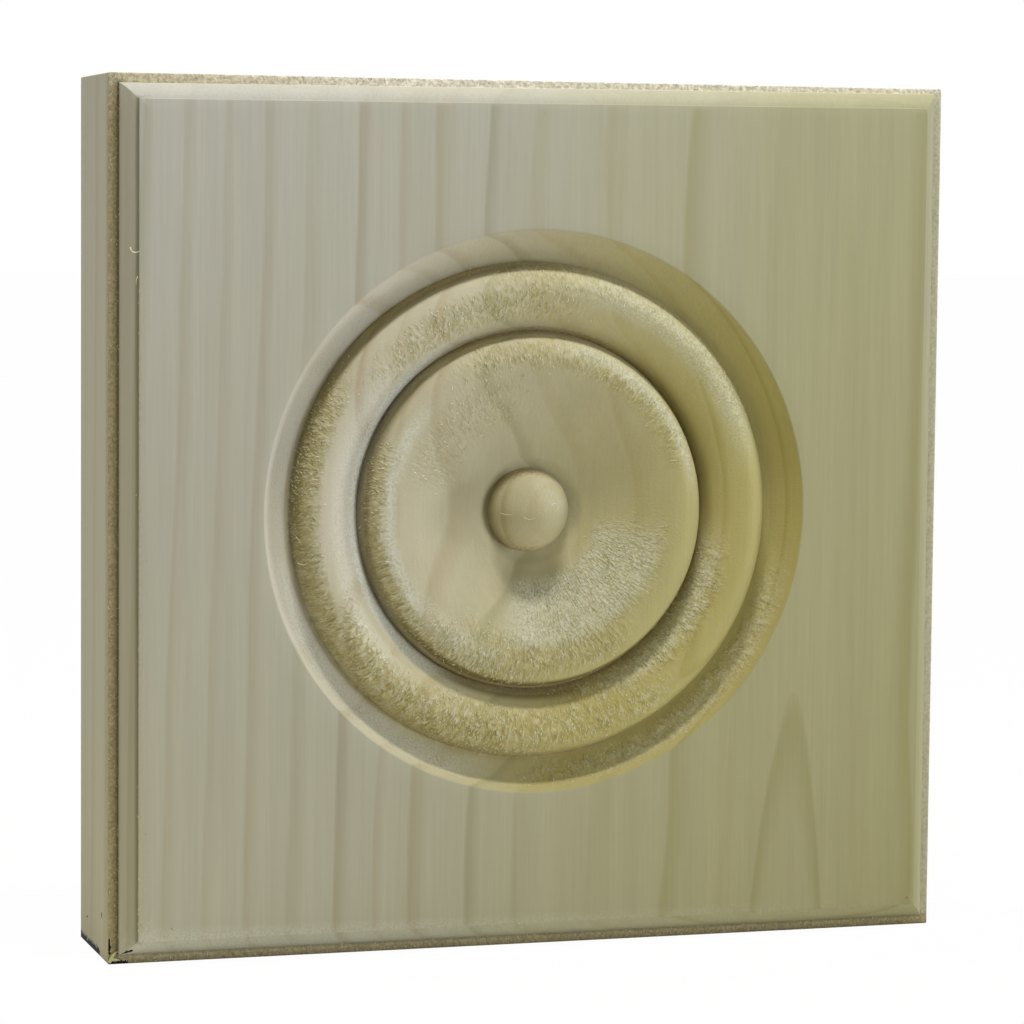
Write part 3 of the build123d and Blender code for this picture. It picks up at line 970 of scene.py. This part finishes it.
def studio_white(name, share, tone):
    """Matt painted board: it shows white to the camera and keeps the block's shadow."""
    material, tree = new_material(name)
    board = add(tree, "ShaderNodeBsdfPrincipled", {
        "Base Color": (*hex_to_linear(tone), 1.0), "Roughness": 0.9})
    factor = add(tree, "ShaderNodeMath", {0: seen_by_camera(tree), 1: share}, operation="MULTIPLY")
    glow = add(tree, "ShaderNodeEmission", {"Color": (1.0, 1.0, 1.0, 1.0), "Strength": 1.0})
    both = add(tree, "ShaderNodeMixShader", {0: factor, 1: board, 2: glow})
    add(tree, "ShaderNodeOutputMaterial", {"Surface": both})
    return material


def new_piece(name, data, turned=(0.0, 0.0, 0.0), place=(0.0, 0.0, 0.0)):
    """A piece, lamp or camera in the scene, in place and not yet given to the frame."""
    piece = bpy.data.objects.new(name, data)
    piece.rotation_euler = turned
    piece.location = place
    bpy.context.scene.collection.objects.link(piece)
    return piece


def hand_over(piece):
    """Gives a finished piece to the frame."""
    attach(piece, "root")


def bullseye_middle(sizes):
    """Middle of the bullseye on the face, as (x, z) in metres."""
    middle_z = (block_low[2] + block_high[2]) / 2
    return np.array((sizes.turning_offset_x, middle_z + sizes.turning_offset_z))


def fibre_piece(name, mask, material, values):
    """A piece of fibres that stand on the block's skin, given to the frame."""
    piece = new_piece(name, bpy.data.objects["poplar_block"].data.copy())
    settle(piece, fibre_tree(mask), {
        "Low": block_low, "High": block_high, "Material": material, **values})
    hand_over(piece)


class ROSETTE_OT_block(bpy.types.Operator):
    """Turn and mould the block, with its torn bed, in place of the CAD solid"""

    bl_idname = "rosette.block"
    bl_label = "Block"

    def execute(self, context):
        scene = context.scene
        sizes, finish, grain = scene.rosette_sizes, scene.rosette_finish, scene.rosette_grain
        loops = block_loops(sizes)
        middle = bullseye_middle(sizes)
        button_top = (middle[0], block_low[1] + sizes.button_top_depth, middle[1])
        back_middle = (0.0, block_high[1], (block_low[2] + block_high[2]) / 2)
        mesh = skin_mesh("poplar_block", loops, button_top, back_middle)
        points = np.array([v.co for v in mesh.vertices])
        torn = zone_share(points, middle, TORN_ZONES)
        radius = np.hypot(points[:, 0] - middle[0], points[:, 2] - middle[1])
        outer, button = radius > INNER_GROOVE * MM, radius < BUTTON_GROOVE * MM
        frayed, stain_and_shade, fluffy = edge_shares(points)
        shares = {
            "torn": torn,
            "torn_ring": torn * outer,
            "torn_disc": torn * ~outer * ~button,
            # Painted shade of the grooves and of the button's shadow
            "painted_shade": zone_share(points, middle, PAINTED_SHADE_ZONES),
            "frayed": frayed,
            # Darkening at the moulding's foot, partly painted shade
            "stain_and_shade": stain_and_shade,
            # Fuzz along the moulding, and fuzz with painted highlights on the bullseye
            "fuzz_and_highlight": np.maximum(fluffy, zone_share(points, middle, FUZZ_AND_HIGHLIGHT_ZONES)),
        }
        for name, share in shares.items():
            keep(mesh, name, share)
        piece = new_piece("poplar_block", mesh)
        settle(piece, torn_bed_tree(), {
            "Centre": (middle[0], 0.0, middle[1]),
            "Depth": grain.bed_height,
            "Stroke Width": grain.stroke_width,
            "Stroke Length": grain.stroke_length,
            "Material": planed_poplar(finish, sizes, middle),
        })
        piece.data.shade_smooth()
        sharpest_bend = math.radians(40)
        piece.data.set_sharp_from_angle(angle=sharpest_bend)
        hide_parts(NODE)
        hand_over(piece)
        return {"FINISHED"}


class ROSETTE_OT_torn_fibres(bpy.types.Operator):
    """Lift the torn fibres of the ring and of the disc"""

    bl_idname = "rosette.torn_fibres"
    bl_label = "Torn fibres"

    def execute(self, context):
        scene = context.scene
        grain = scene.rosette_grain
        material = lifted_fibre(scene.rosette_finish)
        middle = bullseye_middle(scene.rosette_sizes)
        for name, mask in (("ring_torn_fibres", "torn_ring"), ("disc_torn_fibres", "torn_disc")):
            fibre_piece(name, mask, material, {
                "Centre": (middle[0], 0.0, middle[1]),
                "Radial": 1.0,
                "Density": grain.fibre_density / MM ** 2,
                "Length": grain.fibre_length,
                "Width": grain.fibre_width,
                "Lift": 0.12,
                "Stray": 0.6,
                "Seed": grain.seed,
            })
        return {"FINISHED"}


class ROSETTE_OT_frayed_edges(bpy.types.Operator):
    """Fray the cut arrises of the edge moulding"""

    bl_idname = "rosette.frayed_edges"
    bl_label = "Frayed edges"

    def execute(self, context):
        grain = context.scene.rosette_grain
        fibre_piece("edge_fuzz", "frayed", bpy.data.materials["torn_poplar_fibre"], {
            "Radial": 0.0,
            "Density": grain.fuzz_density / MM ** 2,
            "Length": grain.fuzz_length,
            "Width": grain.fuzz_width,
            "Lift": 0.1,
            "Stray": 1.2,
            "Seed": grain.seed + 1,
        })
        return {"FINISHED"}


# Loose fibres that stand alone: points along each one as (x, y, z) and its width, in millimetres
SPLINTERS = {
    "left arris, curled fibre": (
        (-54.95, -10.75, 92.25), (-54.75, -11.0, 91.75), (-54.3, -11.06, 91.6), (-53.8, -11.08, 91.75), 0.17),
    "left arris, hair": ((-53.95, -10.9, 88.6), (-54.2, -10.95, 88.1), (-54.15, -10.8, 87.5), 0.11),
    "groove, left tuft, long": (
        (-23.9, -7.3, 55.8), (-23.5, -8.0, 56.6), (-23.1, -8.2, 57.5), (-22.9, -8.0, 58.6), 0.22),
    "groove, left tuft, short": ((-23.6, -7.4, 56.9), (-22.9, -8.2, 57.2), (-22.3, -8.6, 57.1), 0.2),
    "groove, left tuft, low": ((-23.7, -7.4, 55.6), (-23.0, -8.3, 55.3), (-22.4, -8.7, 55.5), 0.18),
    "groove, left tuft, bent": ((-23.7, -7.3, 58.3), (-23.2, -8.1, 58.9), (-22.9, -8.5, 59.7), 0.16),
    "ring, left edge, fibre": ((-32.7, -8.7, 55.0), (-32.0, -9.4, 54.0), (-31.4, -9.8, 52.9), 0.18),
    "ring, left edge, hair": ((-32.6, -8.8, 51.6), (-31.9, -9.5, 51.4), (-31.3, -9.9, 51.8), 0.15),
    "lower left corner, splinter": (
        (-57.0, -8.0, 0.25), (-56.75, -8.2, 0.9), (-56.3, -8.2, 1.5), (-55.6, -8.0, 1.75), 0.42),
    "lower left corner, chip": ((-56.9, -8.05, 0.6), (-56.3, -8.3, 0.7), (-55.7, -8.05, 0.5), 0.42),
    "button, curled fibre": (
        (1.4, -10.28, 58.7), (2.1, -9.96, 58.95), (2.6, -9.76, 58.4), (2.1, -10.06, 57.9), 0.08),
    "button, lower fibre": ((-2.4, -10.24, 57.2), (-1.6, -10.43, 56.9), (-0.8, -10.58, 57.1), 0.07),
    "button, left fibre": ((-4.9, -8.4, 57.6), (-4.2, -9.16, 57.45), (-3.6, -9.64, 57.6), 0.08),
    "top arris, nick fibre": ((-0.3, -11.06, 110.4), (-0.1, -11.08, 109.9), (0.2, -11.06, 109.7), 0.14),
    "lower arris, hair": ((-40.2, -11.05, 3.5), (-39.5, -11.08, 3.8), (-38.9, -11.05, 3.6), 0.12),
    "lower arris, second hair": ((12.0, -11.05, 3.4), (12.7, -11.08, 3.8), (13.4, -11.06, 4.0), 0.12),
}


def smooth_path(points, steps):
    """A fair curve through a few points."""
    points = np.array(points, float)
    ends = np.concatenate([2 * points[:1] - points[1:2], points, 2 * points[-1:] - points[-2:-1]])
    rows = []
    for i in range(len(points) - 1):
        a, b, c, d = ends[i:i + 4]
        for t in np.linspace(0, 1, steps, endpoint=False):
            rows.append(0.5 * (2 * b + (c - a) * t + (2 * a - 5 * b + 4 * c - d) * t ** 2
                               + (3 * b - a - 3 * c + d) * t ** 3))
    return np.array(rows + [points[-1]])


def splinter_parts(points, width):
    """Points and faces of one splinter: a flattened sliver that tapers to its free end."""
    sides = 7
    path = smooth_path(points, 5)
    count = len(path)
    way = np.gradient(path, axis=0)
    way /= np.linalg.norm(way, axis=1)[:, None]
    side = np.cross(way, (0.0, 1.0, 0.0))
    side /= np.linalg.norm(side, axis=1)[:, None]
    up = np.cross(side, way)
    angle = math.tau * np.arange(sides) / sides
    half = width / 2 * np.sqrt(np.clip(1.05 - np.linspace(0, 1, count), 0.1, 1))
    loops = path[:, None] + half[:, None, None] * (
        np.cos(angle)[None, :, None] * side[:, None] + 0.6 * np.sin(angle)[None, :, None] * up[:, None])
    here = np.arange(sides)
    after = (here + 1) % sides
    starts = sides * np.arange(count - 1)[:, None]
    walls = np.stack([
        starts + here, starts + after, starts + sides + after, starts + sides + here
    ], axis=-1).reshape(-1, 4)
    caps = [here[::-1].tolist(), (sides * (count - 1) + here).tolist()]
    return loops.reshape(-1, 3), walls.tolist() + caps


class ROSETTE_OT_splinters(bpy.types.Operator):
    """Set the few long fibres and splinters that stand alone"""

    bl_idname = "rosette.splinters"
    bl_label = "Splinters"

    def execute(self, context):
        points, faces, shades = [], [], []
        widest_hair, pale, brown = 0.3, 1.0, 0.15
        for *path, width in SPLINTERS.values():
            part, walls = splinter_parts(path, width)
            faces += [[i + len(points) for i in wall] for wall in walls]
            points += np.clip(part * MM, block_low, block_high).tolist()
            shades += [pale if width < widest_hair else brown] * len(part)
        mesh = bpy.data.meshes.new("loose_splinters")
        mesh.from_pydata(points, [], faces)
        mesh.materials.append(bpy.data.materials["torn_poplar_fibre"])
        keep(mesh, "shade", np.array(shades))
        mesh.shade_smooth()
        hand_over(new_piece("loose_splinters", mesh))
        return {"FINISHED"}


# Studio lamps. Far ones have the direction that they stand in, their strength on a surface that
# faces them and their colour. Near ones have their place and size in metres and their power in watts.
FAR_LAMPS = {
    "right front window": ((0.67, -0.74, 0.02), 1.60, (0.88, 0.98, 1.20)),
    "right window": ((0.995, -0.10, 0.0), 2.7, (0.94, 0.98, 1.10)),
    "left wall bounce": ((-0.80, -0.60, 0.0), 0.42, (1.0, 0.90, 0.10)),
    "left rear window": ((-0.94, 0.33, 0.08), 0.25, (1.0, 1.03, 1.15)),
    "rear window": ((0.15, 0.98, 0.10), 0.7, (1.0, 1.0, 1.0)),
    "rear top softbox": ((-0.48, 0.26, 0.84), 1.4, (1.0, 0.98, 0.94)),
}
NEAR_LAMPS = {
    "overhead lamp": ((0.0, -0.086, 0.405), (0.08, 0.03), 0.97),
    "overhead softbox": ((0.0, -0.186, 0.36), (0.30, 0.10), 0.08),
}


class ROSETTE_OT_stage(bpy.types.Operator):
    """Set up the floor, the lamps and the camera"""

    bl_idname = "rosette.stage"
    bl_label = "Studio"

    def execute(self, context):
        scene = context.scene
        studio = scene.rosette_studio
        mesh = bpy.data.meshes.new("studio_floor")
        reach = 6.0
        corners = [(-reach, -reach, 0), (reach, -reach, 0), (reach, reach, 0), (-reach, reach, 0)]
        mesh.from_pydata(corners, [], [(0, 1, 2, 3)])
        floor = new_piece("studio_floor", mesh)
        mesh.materials.append(studio_white("studio_floor_white_board", 0.975, "#F2F2EE"))
        for name, (way, strength, tint) in FAR_LAMPS.items():
            lamp = bpy.data.lights.new(name, "SUN")
            lamp.energy = strength
            lamp.color = tint
            lamp.angle = studio.lamp_softness
            new_piece(name, lamp, Vector(way).to_track_quat("Z", "Y").to_euler())
        middle = (Vector(block_low) + Vector(block_high)) / 2
        for name, (place, (width, depth), power) in NEAR_LAMPS.items():
            lamp = bpy.data.lights.new(name, "AREA")
            lamp.energy = power
            lamp.shape = "RECTANGLE"
            lamp.size, lamp.size_y = width, depth
            back = (Vector(place) - middle).normalized()
            across = Vector((1.0, 0.0, 0.0))
            across = (across - back * across.dot(back)).normalized()
            turned = Matrix((across, back.cross(across), back)).transposed().to_euler()
            new_piece(name, lamp, turned, place)
        world = bpy.data.worlds.new("white_studio")
        scene.world = world
        world.use_nodes = True
        tree = world.node_tree
        tree.nodes.clear()
        dim = add(tree, "ShaderNodeBackground", {
            "Color": studio.surround_tint, "Strength": studio.surround})
        white = add(tree, "ShaderNodeBackground", {"Color": (1.0, 1.0, 1.0, 1.0), "Strength": 1.0})
        both = add(tree, "ShaderNodeMixShader", {0: seen_by_camera(tree), 1: dim, 2: white})
        add(tree, "ShaderNodeOutputWorld", {"Surface": both})
        lens = bpy.data.cameras.new("studio_camera")
        lens.lens = studio.focal_length
        lens.sensor_width = 36.0
        lens.clip_start = 0.01
        lens.clip_end = 50.0
        aim = Euler((math.radians(90) - studio.camera_pitch, 0.0, -studio.camera_yaw)).to_matrix()
        turned = (aim @ Matrix.Rotation(studio.camera_roll, 3, "Z")).to_euler()
        place = (studio.camera_x, studio.camera_y, studio.camera_z)
        scene.camera = new_piece("studio_camera", lens, turned, place)
        scene.view_settings.view_transform = "Standard"
        return {"FINISHED"}


class ROSETTE_PT_build(bpy.types.Panel):
    """Lists the steps that build the block"""

    bl_idname = "ROSETTE_PT_build"
    bl_label = "Rosette corner block"
    bl_space_type = "VIEW_3D"
    bl_region_type = "UI"
    bl_category = "Rosette"

    def draw(self, context):
        for operator in OPERATORS:
            self.layout.operator(operator.bl_idname)


OPERATORS = (
    ROSETTE_OT_block, ROSETTE_OT_torn_fibres, ROSETTE_OT_frayed_edges, ROSETTE_OT_splinters,
    ROSETTE_OT_stage,
)
GROUPS = {
    "rosette_sizes": RosetteSizes,
    "rosette_finish": PoplarFinish,
    "rosette_grain": TornGrain,
    "rosette_studio": StudioStage,
}


def register():
    for group in GROUPS.values():
        bpy.utils.register_class(group)
    for name, group in GROUPS.items():
        setattr(bpy.types.Scene, name, PointerProperty(type=group))
    for operator in OPERATORS:
        bpy.utils.register_class(operator)
    bpy.utils.register_class(ROSETTE_PT_build)


def unregister():
    bpy.utils.unregister_class(ROSETTE_PT_build)
    for operator in reversed(OPERATORS):
        bpy.utils.unregister_class(operator)
    for name in GROUPS:
        delattr(bpy.types.Scene, name)
    for group in reversed(GROUPS.values()):
        bpy.utils.unregister_class(group)


def main():
    register()
    bpy.ops.rosette.block()
    bpy.ops.rosette.torn_fibres()
    bpy.ops.rosette.frayed_edges()
    bpy.ops.rosette.splinters()
    bpy.ops.rosette.stage()


if __name__ == "__main__":
    main()
